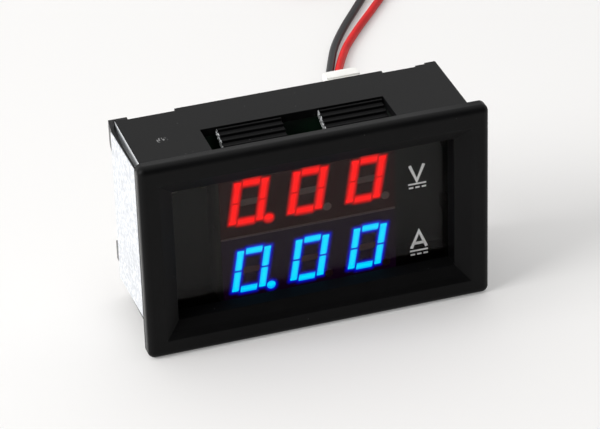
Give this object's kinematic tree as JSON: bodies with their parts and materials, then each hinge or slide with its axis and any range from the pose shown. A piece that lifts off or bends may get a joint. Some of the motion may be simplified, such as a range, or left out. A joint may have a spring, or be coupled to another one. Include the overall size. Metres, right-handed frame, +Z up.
{
  "type": "digital panel meter",
  "caption": "Snap-in panel meter: flanged black housing with a recessed smoky window over red and blue digit displays, circuit board behind, leaf clips and a plugged-in lead pair.",
  "frame": {"origin": "centre of the meter's width and depth, on the surface that the flange stands on, without the supply leads and their plug", "axes": "+X runs to the right along the front, +Y runs back into the panel, +Z is up; the front faces -Y"},
  "size_m": [0.0665, 0.1089, 0.029],
  "materials": {
    "housing_plastic": "fine-textured black moulded plastic with a soft sheen",
    "lens_plastic": "smoky transparent acrylic",
    "label_paper": "blank white label",
    "display_case": "dark printed face on white sides",
    "red_light": "lit red epoxy",
    "blue_light": "lit blue epoxy",
    "unlit_epoxy": "unlit milky epoxy",
    "tinned_metal": "bright tin",
    "board_laminate": "green solder mask",
    "white_nylon": "natural white nylon",
    "shunt_wire": "drawn alloy wire",
    "chip_epoxy": "moulded black epoxy",
    "tantalum_case": "moulded yellow epoxy",
    "capacitor_ceramic": "sintered tan ceramic",
    "resistor_ceramic": "black film on ceramic",
    "trimmer_base": "blue moulded plastic",
    "trimmer_rotor": "white moulded plastic",
    "black_insulation": "soft glossy lead insulation",
    "red_insulation": "soft glossy lead insulation"
  },
  "bodies": {
    "meter": {"housing": "housing_plastic", "lens": "lens_plastic", "side_label": "label_paper", "red_display_body": "display_case", "red_segments_lit": "red_light", "red_segments_unlit": "unlit_epoxy", "blue_display_body": "display_case", "blue_segments_lit": "blue_light", "blue_segments_unlit": "unlit_epoxy", "display_pins": "tinned_metal", "circuit_board": "board_laminate", "supply_header": "white_nylon", "supply_header_pins": "tinned_metal", "supply_plug": "white_nylon", "supply_contacts": "tinned_metal", "measuring_header": "white_nylon", "measuring_header_pins": "tinned_metal", "shunt": "shunt_wire", "controller_chip": "chip_epoxy", "amplifier_chip": "chip_epoxy", "regulator": "chip_epoxy", "protection_diode": "chip_epoxy", "filter_capacitor": "tantalum_case", "chip_capacitors": "capacitor_ceramic", "chip_resistors": "resistor_ceramic", "voltage_trimmer": "trimmer_base", "current_trimmer": "trimmer_base", "black_lead": "black_insulation", "red_lead": "red_insulation", "black_lead_coil": "black_insulation", "red_lead_coil": "red_insulation"},
    "voltage_rotor": {"voltage_trimmer_rotor": "trimmer_rotor"},
    "current_rotor": {"current_trimmer_rotor": "trimmer_rotor"}
  },
  "joints": [
    {"name": "voltage_trim", "type": "hinge", "parent": "meter", "child": "voltage_rotor", "pos_m": [0.0176, 0.003, 0.0152], "axis": [0, 1, 0], "range_deg": [-130, 130]},
    {"name": "current_trim", "type": "hinge", "parent": "meter", "child": "current_rotor", "pos_m": [0.0062, 0.003, 0.0184], "axis": [0, 1, 0], "range_deg": [-130, 130]}
  ]
}
